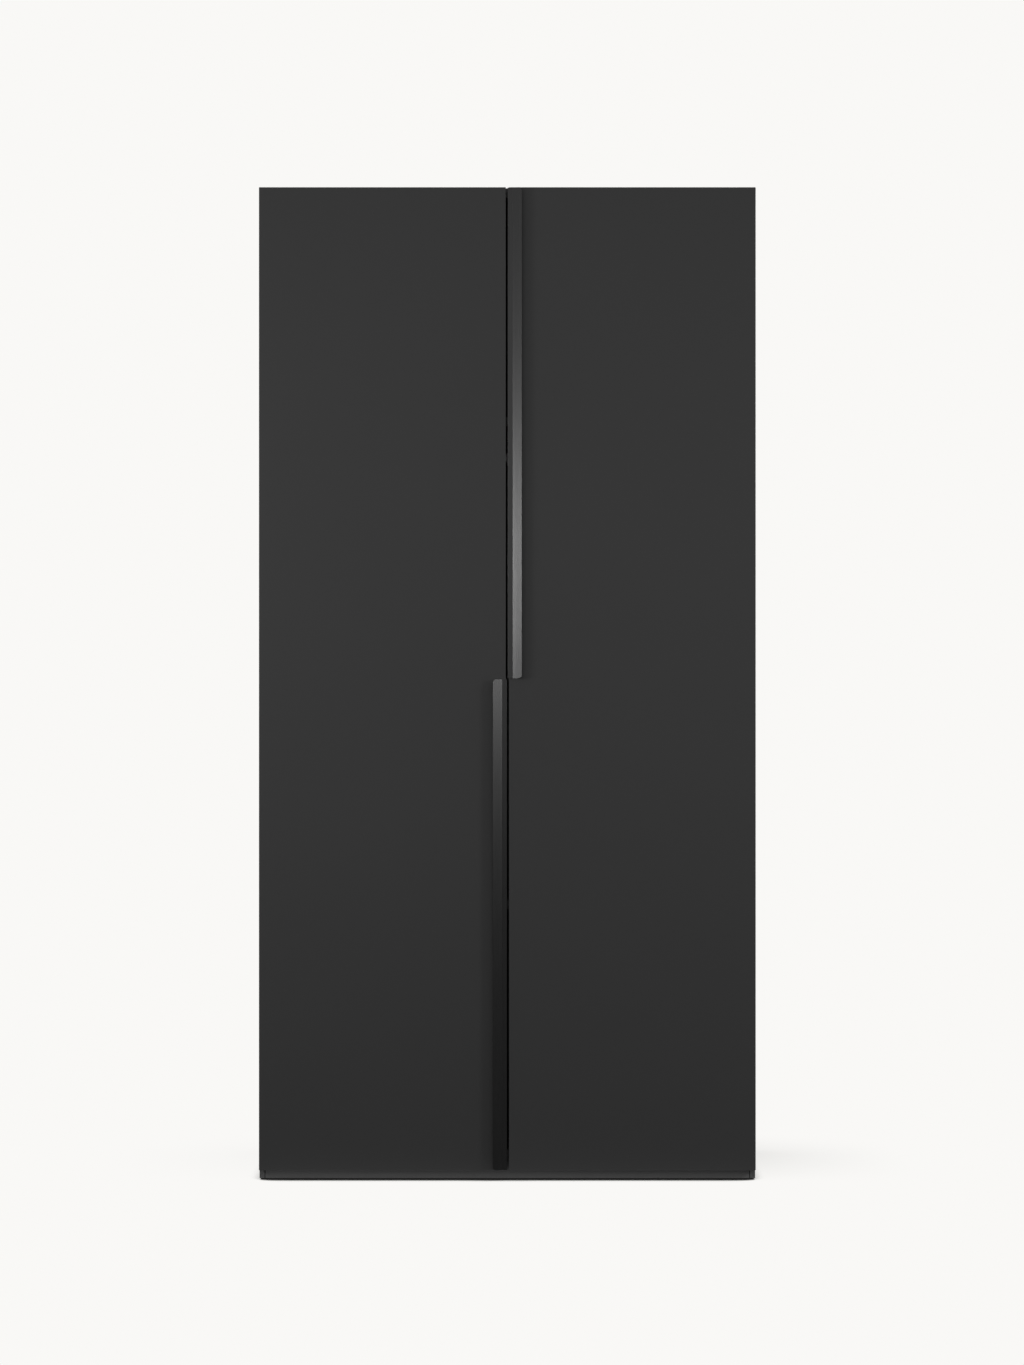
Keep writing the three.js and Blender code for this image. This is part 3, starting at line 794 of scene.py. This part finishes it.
def handle_section(side):
    """Leg on the door's edge, flat strip on its face, wing sloping forward; seen from above."""
    low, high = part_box(f"handle_{side}")
    sign = SIDES[side]
    edge = sign * inner_end(side, low, high)
    tip = sign * outer_end(side, low, high)
    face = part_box(f"door_{side}")[0].y - JOINT_GAP
    front = face - HANDLE_WALL
    bend = edge + HANDLE_FLAT
    slope = (front - low.y) / (tip - bend)
    slant = math.hypot(1, slope) * HANDLE_WALL
    corners = [
        (edge, high.y),
        (edge, front),
        (bend, front),
        (tip, low.y),
        (tip, low.y + slant),
        (bend + (slant - HANDLE_WALL) / slope, face),
        (edge + HANDLE_WALL, face),
        (edge + HANDLE_WALL, high.y),
    ]
    radii = [0.0004, 0.0009, 0.0012, 0.0004, 0.0004, 0.003, 0.0004, 0.0004]
    return [(sign * x, y) for x, y in rounded(corners, radii)]


def handle_window(side):
    """A plate that leaves out the wing's outer corners, so that they end up round."""
    low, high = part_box(f"handle_{side}")
    sign = SIDES[side]
    edge = sign * inner_end(side, low, high)
    corner = sign * outer_end(side, low, high) - HANDLE_CORNER
    outline = [(low.z, edge - 0.001)]
    outline += arc((low.z + HANDLE_CORNER, corner), HANDLE_CORNER, 180, 90, 10)
    outline += arc((high.z - HANDLE_CORNER, corner), HANDLE_CORNER, 90, 0, 10)
    outline += [(high.z, edge - 0.001)]
    outline = [(z, sign * x) for z, x in outline]
    return prism("window", outline, 1, low.y - 0.001, high.y + 0.001)


def handle_profile(side):
    node = f"handle_{side}"
    low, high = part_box(node)
    made = prism(f"handle_profile_{side}", handle_section(side), 2, low.z, high.z)
    trim(made, handle_window(side))
    soften(made, HANDLE_ARRIS, 2, 50)
    fit(paint(made, PROFILE), f"{side}_door", "handle_profile", node)


def handle_screws(side):
    """Screws through the handle's leg into the door's edge."""
    low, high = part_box(f"handle_{side}")
    sign = SIDES[side]
    seat = sign * (sign * inner_end(side, low, high) + LEG_SCREW_SINK)
    leg_middle = (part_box(f"door_{side}")[0].y - JOINT_GAP + high.y) / 2
    places = []
    for i in range(LEG_SCREWS):
        z = low.z + (high.z - low.z) * (i + 0.5) / LEG_SCREWS
        places.append(((seat, leg_middle, z), (-sign, 0, 0)))
    body, slot = f"{side}_door", "handle_profile"
    fasten(f"handle_screws_{side}", body, slot, SCREW, LEG_SCREW_DIAMETER, PROFILE, places, 3)


for side in SIDES:
    door_leaf(side)
    handle_profile(side)
    handle_screws(side)

# ---- Hinges -------------------------------------------------------------------------------


def pivot_of(side):
    joint = next(j for j in frame["joints"] if j["name"] == f"{side}_door_hinge")
    return joint["pos_m"]


def cup_bowl(side, i):
    """Pressed bowl, its rim cut down to the door's face on the hinge side, under the arm."""
    low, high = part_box(f"hinge_cup_{side}_{i}")
    centre = (low + high) / 2
    depth = high.y - low.y
    inner = CUP_RADIUS - CUP_WALL
    profile = [
        (0, -depth),
        (CUP_RADIUS - CUP_FILLET, -depth),
        (CUP_RADIUS, -depth + CUP_FILLET),
        (CUP_RADIUS, 0),
        (inner, 0),
        (inner, -depth + CUP_FLOOR + CUP_FILLET),
        (inner - CUP_FILLET, -depth + CUP_FLOOR),
        (0, -depth + CUP_FLOOR),
    ]
    place = (centre.x, high.y, centre.z)
    bowl = turned(f"cup_{side}_{i}", profile, place, axis=1, steps=56)
    near = SIDES[side] * (abs(centre.x) + CUP_FLANGE_WIDTH / 2)
    far = SIDES[side] * (abs(centre.x) + CUP_RADIUS + 0.001)
    relief = [(centre.z + z, x) for z, x in ((-0.02, near), (0.02, near), (0.02, far), (-0.02, far))]
    door_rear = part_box(f"door_{side}")[1].y
    return cut(bowl, prism("relief", relief, 1, door_rear, high.y + 0.001))


def cup_flange(side, i):
    low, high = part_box(f"hinge_cup_{side}_{i}")
    centre = (low + high) / 2
    corners = box_outline((high.z - low.z) / 2, CUP_FLANGE_WIDTH / 2)
    outline = moved(rounded(corners, [CUP_FLANGE_CORNER] * 4, 6), centre.z, centre.x)
    flange = prism("flange", outline, 1, high.y - CUP_FLANGE, high.y)
    radius = CUP_RADIUS - CUP_WALL + 0.0002
    bore = [(0, -0.01), (radius, -0.01), (radius, 0.01), (0, 0.01)]
    place = (centre.x, high.y, centre.z)
    return cut(flange, turned("bore", bore, place, axis=1, steps=56))


def cup_pin(side, i):
    """The pin that the door turns on, from wall to wall of the cup."""
    centre = middle(f"hinge_cup_{side}_{i}")
    pivot = pivot_of(side)
    offset = abs(pivot[0] - centre.x)
    half = math.sqrt((CUP_RADIUS - CUP_WALL / 2) ** 2 - (offset + PIN_RADIUS) ** 2)
    profile = [(0, -half), (PIN_RADIUS, -half), (PIN_RADIUS, half), (0, half)]
    return turned("pin", profile, (pivot[0], pivot[1], centre.z), steps=20)


def hinge_cup(side, i):
    node = f"hinge_cup_{side}_{i}"
    parts = cup_bowl(side, i), cup_flange(side, i), cup_pin(side, i)
    made = join(f"{node}_finished", NICKEL, *parts)
    return fit(smooth(made), f"{side}_door", "hinge_nickel", node)


def pressing(kind, side, i):
    """A hinge's arm or mounting plate."""
    node = f"hinge_{kind}_{side}_{i}"
    made = paint(soften(copy_of(node), PRESSING_ARRIS, 2), NICKEL)
    return fit(made, CARCASS, "hinge_nickel", node)


def hinge_screws(side):
    """Screws of every cup, plate and arm on one side."""
    sign = SIDES[side]
    cups, plates, arms = [], [], []
    for i in HINGES:
        cup = middle(f"hinge_cup_{side}_{i}")
        cup_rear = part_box(f"hinge_cup_{side}_{i}")[1].y
        low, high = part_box(f"hinge_plate_{side}_{i}")
        plate_z = (low.z + high.z) / 2
        plate_x = outer_end(side, low, high) - sign * PLATE_BASE
        arm_low, arm_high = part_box(f"hinge_arm_{side}_{i}")
        arm_x = inner_end(side, arm_low, arm_high)
        for way in (-1, 1):
            cups.append(((cup.x, cup_rear, cup.z + way * CUP_SCREW_SPREAD), (0, 1, 0)))
            place = (plate_x, low.y + PLATE_WING_SETBACK, plate_z + way * PLATE_SCREW_SPREAD)
            plates.append((place, (-sign, 0, 0)))
        for share in ARM_SCREW_SHARES:
            y = arm_low.y + (arm_high.y - arm_low.y) * share
            arms.append(((arm_x, y, plate_z), (-sign, 0, 0)))
    for name, body, diameter, places, seed in (
        (f"cup_screws_{side}", f"{side}_door", HINGE_SCREW_DIAMETER, cups, 5),
        (f"plate_screws_{side}", CARCASS, HINGE_SCREW_DIAMETER, plates, 7),
        (f"arm_screws_{side}", CARCASS, ARM_SCREW_DIAMETER, arms, 11),
    ):
        fasten(name, body, "zinc_steel", SCREW, diameter, ZINC, places, seed)


for side in SIDES:
    for i in HINGES:
        hinge_cup(side, i)
        pressing("arm", side, i)
        pressing("plate", side, i)
    hinge_screws(side)

# ---- Rail, pins, feet, bumpers, brackets --------------------------------------------------


def rail_outline(centre, grown=0.0):
    """The rail's own section about a centre, or one that is larger all round."""
    low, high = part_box("hanging_rail")
    width = high.y - low.y + 2 * grown
    height = high.z - low.z + 2 * grown
    return moved(obround(width, height), centre.y, centre.z)


def hanging_rail():
    low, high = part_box("hanging_rail")
    centre = middle("hanging_rail")
    tube = prism("rail_tube", rail_outline(centre), 0, low.x, high.x)
    bore = rail_outline(centre, -RAIL_WALL)
    cut(tube, prism("bore", bore, 0, low.x - 0.01, high.x + 0.01))
    soften(tube, THIN_ARRIS)
    return fit(paint(tube, RAIL_STEEL), CARCASS, "rail_steel", "hanging_rail")


def rail_support(side):
    """Screwed end plate with a collar that the rail sits in."""
    node = f"rail_support_{side}"
    sign = SIDES[side]
    low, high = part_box(node)
    centre = middle(node)
    wall = outer_end(side, low, high)
    mouth = inner_end(side, low, high)
    face = wall - sign * SOCKET_PLATE
    outline = moved(obround(high.y - low.y, high.z - low.z), centre.y, centre.z)
    plate = soften(prism("plate", outline, 0, *sorted((face, wall))), SOCKET_PLATE_ARRIS, 3)
    collar = prism("collar", rail_outline(centre, SOCKET_WALL), 0, *sorted((mouth, face)))
    reach = sorted((mouth - sign * 0.01, face + sign * 0.001))
    cut(collar, prism("hollow", rail_outline(centre, JOINT_GAP), 0, *reach))
    soften(collar, FITTING_ARRIS, 3)
    made = smooth(join(f"rail_socket_{side}", ZINC, plate, collar))
    fit(made, CARCASS, "rail_steel", node)
    places = []
    for way in (-1, 1):
        place = (face, centre.y, centre.z + way * SOCKET_SCREW_SPREAD)
        places.append((place, (-sign, 0, 0)))
    name, diameter = f"rail_socket_screws_{side}", SOCKET_SCREW_DIAMETER
    fasten(name, CARCASS, "zinc_steel", SCREW, diameter, ZINC, places, 13)


def zinc_fitting(node):
    """A small plated fitting with its edges rounded."""
    made = paint(soften(copy_of(node), FITTING_ARRIS, 3), ZINC)
    return fit(made, CARCASS, "zinc_steel", node)


def foot_socket(end, side):
    """Flanged socket under the bottom panel."""
    node = f"foot_socket_{end}_{side}"
    low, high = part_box(node)
    centre = middle(f"foot_screw_{end}_{side}")
    flange = (high.x - low.x) / 2
    shoulder = high.z - FOOT_FLANGE
    top = high.z - 0.0002
    profile = [
        (FOOT_BORE, low.z),
        (FOOT_BODY_RADIUS - FOOT_CHAMFER, low.z),
        (FOOT_BODY_RADIUS, low.z + FOOT_CHAMFER),
        (FOOT_BODY_RADIUS, shoulder - FOOT_NECK),
        (FOOT_BODY_RADIUS + FOOT_NECK, shoulder),
        (flange - FOOT_FLANGE_CHAMFER, shoulder),
        (flange, shoulder + FOOT_FLANGE_CHAMFER),
        (flange, top),
        (FOOT_BORE, top),
    ]
    name = f"levelling_socket_{end}_{side}"
    made = smooth(turned(name, profile, (centre.x, centre.y, 0), PLASTIC, steps=56))
    return fit(made, CARCASS, "black_plastic", node)


def foot_screw(end, side):
    """Round pad with a threaded shaft."""
    node = f"foot_screw_{end}_{side}"
    low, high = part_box(node)
    centre = middle(node)
    pad = (high.x - low.x) / 2
    profile = [
        (0, 0),
        (pad - 0.001, 0),
        (pad, 0.001),
        (pad, PAD_RIM),
        (pad - 0.0015, PAD_HEIGHT),
        (SHAFT_RADIUS, PAD_HEIGHT),
    ]
    for i in range(int((high.z - THREAD_INSET) / THREAD_PITCH)):
        z = THREAD_START + i * THREAD_PITCH
        profile.append((SHAFT_RADIUS - THREAD_DEPTH, z + THREAD_PITCH * 0.25))
        profile.append((SHAFT_RADIUS, z + THREAD_PITCH * 0.75))
    profile += [(SHAFT_RADIUS - 0.0008, high.z), (0, high.z)]
    name = f"levelling_screw_{end}_{side}"
    made = smooth(turned(name, profile, (centre.x, centre.y, 0), ZINC, steps=40))
    return fit(made, f"{end}_{side}_foot", "zinc_steel", node)


def bumper(end, side):
    """Soft stop on the back of a door."""
    node = f"door_bumper_{end}_{side}"
    low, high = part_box(node)
    centre = middle(node)
    radius = (high.z - low.z) / 2
    thick = high.y - low.y
    profile = [
        (0, 0),
        (radius, 0),
        (radius, thick * 0.45),
        (radius * 0.85, thick * 0.85),
        (radius * 0.55, thick),
        (0, thick),
    ]
    place = (centre.x, low.y, centre.z)
    made = turned(f"soft_stop_{end}_{side}", profile, place, RUBBER, axis=1, steps=32)
    return fit(smooth(made, 60), f"{side}_door", "bumper_rubber", node)


def bracket_screws(side):
    """Two screws up into the top panel and one into the wall."""
    low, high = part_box(f"wall_bracket_{side}")
    centre = (low + high) / 2
    places = []
    for way in (-1, 1):
        x = centre.x + way * BRACKET_SCREW_SPREAD
        place = (x, low.y + BRACKET_SCREW_INSET, high.z - BRACKET_THICKNESS)
        places.append((place, (0, 0, -1)))
    place = (centre.x, high.y - BRACKET_THICKNESS, low.z + BRACKET_SCREW_INSET)
    places.append((place, (0, -1, 0)))
    name, diameter = f"wall_bracket_screws_{side}", BRACKET_SCREW_DIAMETER
    fasten(name, CARCASS, "zinc_steel", SCREW, diameter, ZINC, places, 17)


def cam_fittings():
    """Cam fittings that pull the fixed boards to the sides."""
    places = []
    for node in ("top_panel", "upper_shelf"):
        low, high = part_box(node)
        for sign in SIDES.values():
            for y in (low.y + CAM_END_INSET, (low.y + high.y) / 2, high.y - CAM_END_INSET):
                places.append(((sign * (high.x - CAM_INSET), y, low.z), (0, 0, -1)))
    fasten("cam_fittings", CARCASS, "zinc_steel", CAM, CAM_DIAMETER, ZINC, places, 19)


def foot_screw_caps():
    """Caps in the wardrobe's floor, over the foot screws."""
    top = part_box("bottom_panel")[1].z
    places = []
    for side in SIDES:
        for end in ("front", "rear"):
            centre = middle(f"foot_screw_{end}_{side}")
            places.append(((centre.x, centre.y, top), (0, 0, 1)))
    fasten("foot_screw_caps", CARCASS, "black_plastic", CAP, CAP_DIAMETER, PLASTIC, places, 23)


hanging_rail()
for side in SIDES:
    rail_support(side)
    zinc_fitting(f"wall_bracket_{side}")
    bracket_screws(side)
    for end in ("front", "rear"):
        zinc_fitting(f"shelf_pin_{end}_{side}")
        foot_socket(end, side)
        foot_screw(end, side)
    for end in ("lower", "upper"):
        bumper(end, side)
cam_fittings()
foot_screw_caps()
drop(SCREW, CAM, CAP)

# ---- Studio -------------------------------------------------------------------------------

DOOR_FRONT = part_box("door_left")[0].y
CAMERA_DISTANCE = 9.0
CAMERA_HEIGHT = 1.003
CAMERA_OFFSET = 0.0094
VIEW_HEIGHT = 2.7475  # what the frame takes in at the doors, from top to bottom
SENSOR = 36

FLOOR_HALF = 30
CONTACT_REACH = 0.08  # how near a thing has to be to the floor for the painted contact shade
SHADOW_REACH = 0.35  # the same for the painted soft shadow

# Place, point aimed at, width, height and watts.
SOFTBOXES = {
    "front_softbox": ((-0.75, -3.0, 1.60), (-0.15, -0.3, 1.60), 3.4, 1.6, 14.5),
    "floor_reflector": ((0, -0.298, 0.001), (0, -0.298, 1), 1.0, 0.052, 0.08),
    "rear_softbox": ((0.8, 4.2, 2.4), (0, 0.3, 1.0), 3.0, 2.4, 120),
    "left_softbox": ((-2.2, -1.6, 1.31), (0, -0.3, 1.25), 0.5, 0.42, 15),
    "left_upper_card": ((-2.2, -1.6, 2.15), (0, -0.3, 1.9), 0.6, 0.9, 1.4),
    "right_softbox": ((2.2, -1.6, 1.31), (0, -0.3, 1.25), 0.5, 0.42, 15),
    "right_upper_card": ((2.2, -1.6, 2.15), (0, -0.3, 1.9), 0.6, 0.9, 1.4),
}


def camera():
    data = bpy.data.cameras.new("camera")
    data.sensor_width = SENSOR
    data.lens = data.sensor_width * CAMERA_DISTANCE / VIEW_HEIGHT
    made = bpy.data.objects.new("camera", data)
    made.location = (CAMERA_OFFSET, DOOR_FRONT - CAMERA_DISTANCE, CAMERA_HEIGHT)
    made.rotation_euler = (math.pi / 2, 0, 0)
    bpy.context.scene.collection.objects.link(made)
    bpy.context.scene.camera = made


def softbox(name, place, aim, width, height, power):
    data = bpy.data.lights.new(name, "AREA")
    data.shape = "RECTANGLE"
    data.size = width
    data.size_y = height
    data.energy = power
    made = bpy.data.objects.new(name, data)
    made.location = place
    made.rotation_euler = (Vector(aim) - Vector(place)).to_track_quat("-Z", "Y").to_euler()
    made.visible_camera = False
    bpy.context.scene.collection.objects.link(made)


def surroundings():
    """A pale backdrop to look at, and a soft even light from all round."""
    world = bpy.data.worlds.new("studio")
    world.use_nodes = True
    bpy.context.scene.world = world
    nodes, links = world.node_tree.nodes, world.node_tree.links
    light = nodes["Background"]
    light.inputs["Color"].default_value = (*grey(1.0), 1)
    light.inputs["Strength"].default_value = AMBIENT
    seen = nodes.new("ShaderNodeBackground")
    seen.inputs["Color"].default_value = (*BACKDROP, 1)
    path = nodes.new("ShaderNodeLightPath")
    mix = nodes.new("ShaderNodeMixShader")
    links.new(path.outputs["Is Camera Ray"], mix.inputs[0])
    links.new(light.outputs[0], mix.inputs[1])
    links.new(seen.outputs[0], mix.inputs[2])
    links.new(mix.outputs[0], nodes["World Output"].inputs["Surface"])


def openness(surface, distance):
    """How much of the air within a distance over the floor is free, from 0 to 1."""
    node = surface.add("ShaderNodeAmbientOcclusion", samples=16)
    node.inputs["Distance"].default_value = distance
    return node.outputs["AO"]


def painted_floor_shadow(surface):
    """Share of the backdrop's colour: painted shade dark at contact, and a painted soft shadow to
    the right and back.
    """
    # Painted contact shade: ambient occlusion darkens the glow's colour near things that stand on
    # the floor.
    contact = surface.spread(openness(surface, CONTACT_REACH), 0.015, 1.0, 0.27, 0.62)
    across = surface.add("ShaderNodeSeparateXYZ")
    surface.link(surface.place, across.inputs[0])
    # Painted soft shadow, weighted towards the right and back by the floor's X and Y.
    shadow = surface.spread(openness(surface, SHADOW_REACH), 1.0, 0.0, 0.45, 1.0)
    for weight in (
        surface.spread(across.outputs["X"], 0.05, 0.20, -0.5, 0.5),
        surface.spread(across.outputs["Y"], 0.0, 1.0, -0.32, 0.30),
    ):
        shadow = surface.math("MULTIPLY", shadow, weight)
    return surface.math("MULTIPLY", contact, surface.math("SUBTRACT", 1.0, shadow))


def pale_floor():
    """Floor that camera rays see glowing in the backdrop's colour, with painted shade where
    something stands close; other rays meet a matt grey.
    """
    surface = Surface("pale_floor", FLOOR_BOUNCE, 0.9, specular=0.0)
    tint = surface.add("ShaderNodeMix", data_type="RGBA", blend_type="MULTIPLY")
    tint.inputs[0].default_value = 1.0
    tint.inputs[6].default_value = (*BACKDROP, 1)
    # The painted contact shade and soft shadow are multiplied into the glow's colour.
    surface.link(painted_floor_shadow(surface), tint.inputs[7])
    glow = surface.add("ShaderNodeEmission")
    surface.link(tint.outputs[2], glow.inputs["Color"])
    path = surface.add("ShaderNodeLightPath")
    mix = surface.add("ShaderNodeMixShader")
    surface.link(path.outputs["Is Camera Ray"], mix.inputs[0])
    surface.link(surface.shader.outputs[0], mix.inputs[1])
    surface.link(glow.outputs[0], mix.inputs[2])
    surface.link(mix.outputs[0], surface.tree.nodes["Material Output"].inputs["Surface"])
    outline = box_outline(FLOOR_HALF, FLOOR_HALF)
    prism("pale_floor", outline, 2, -0.002, 0, surface.material)


bpy.context.scene.view_settings.view_transform = "Standard"
camera()
surroundings()
pale_floor()
for name, settings in SOFTBOXES.items():
    softbox(name, *settings)
